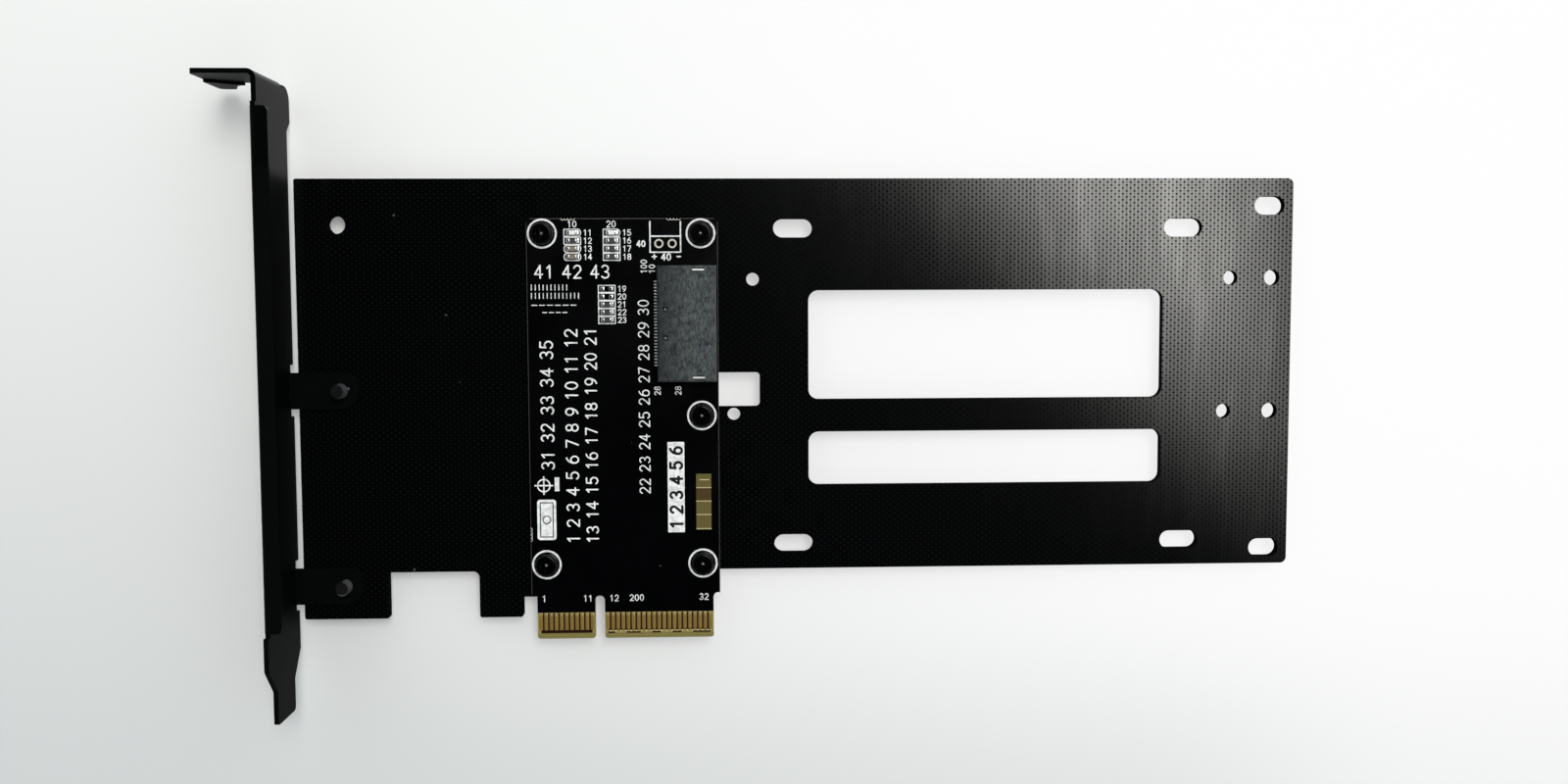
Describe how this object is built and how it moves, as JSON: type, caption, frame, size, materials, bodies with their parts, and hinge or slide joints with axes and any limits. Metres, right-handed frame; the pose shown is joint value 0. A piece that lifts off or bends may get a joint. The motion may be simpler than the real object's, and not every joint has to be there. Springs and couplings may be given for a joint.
{
  "type": "drive adapter card",
  "caption": "Flat expansion-card adapter: a long slotted carrier plate with a folded slot bracket and a small keyed edge board whose right-angle connector takes a flat solid-state drive.",
  "frame": {"origin": "bottom centre of the whole card's box, on the surface the card lies on (its nuts and screw heads)", "axes": "+X along the plate away from the slot bracket, +Y towards the bracket's screw flange, +Z out of the component side"},
  "size_m": [0.207, 0.1206, 0.0214],
  "materials": {
    "plate_laminate": "satin black glass-epoxy sheet with the weave just showing",
    "bracket_paint": "satin black paint on folded steel",
    "black_screws": "blackened steel, slightly glossy",
    "nut_steel": "plain zinc-plated steel",
    "board_mask": "black solder mask with white printed marks",
    "finger_gold": "thin gold plating, dull olive to brown",
    "connector_plastic": "dark grey mottled moulding",
    "contact_metal": "bright tinned copper alloy",
    "solder_pads": "tinned copper",
    "lamp_lens": "milky lens on a white base",
    "resistor_body": "black coated ceramic with tinned ends",
    "capacitor_body": "tan ceramic with tinned ends"
  },
  "bodies": {
    "root": {"carrier_plate": "plate_laminate", "slot_bracket": "bracket_paint", "bracket_screws": "black_screws", "adapter_board": "board_mask", "contact_fingers_front": "finger_gold", "contact_fingers_back": "finger_gold", "board_screws": "black_screws", "board_nuts": "nut_steel", "connector_housing": "connector_plastic", "connector_contacts_upper": "contact_metal", "connector_contacts_lower": "contact_metal", "connector_hold_downs": "contact_metal", "power_lamp": "lamp_lens", "activity_lamp": "lamp_lens", "chip_resistors": "resistor_body", "chip_capacitors": "capacitor_body", "chip_pads": "solder_pads", "bare_pads": "solder_pads", "header_holes": "solder_pads"}
  },
  "joints": []
}
